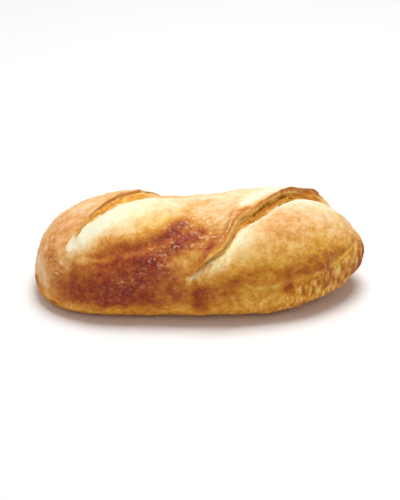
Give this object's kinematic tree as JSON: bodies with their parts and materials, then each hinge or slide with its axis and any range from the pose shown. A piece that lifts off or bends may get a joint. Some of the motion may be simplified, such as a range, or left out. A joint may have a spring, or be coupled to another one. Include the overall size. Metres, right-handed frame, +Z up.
{
  "type": "crusty bread roll",
  "caption": "Long crusty bread roll with slanting cuts that opened in baking, each with a raised lip, a torn band and a smooth swollen flank, on a flat base.",
  "frame": {"origin": "middle of the base, on the surface that the roll stands on", "axes": "+X along the roll towards its pointed end, -Y to the side that the swollen flanks face, +Z up"},
  "size_m": [0.168, 0.078, 0.0542],
  "materials": {
    "crust": "dry baked crust, dusted with flour, matt"
  },
  "bodies": {
    "root": {"roll": "crust"}
  },
  "joints": []
}
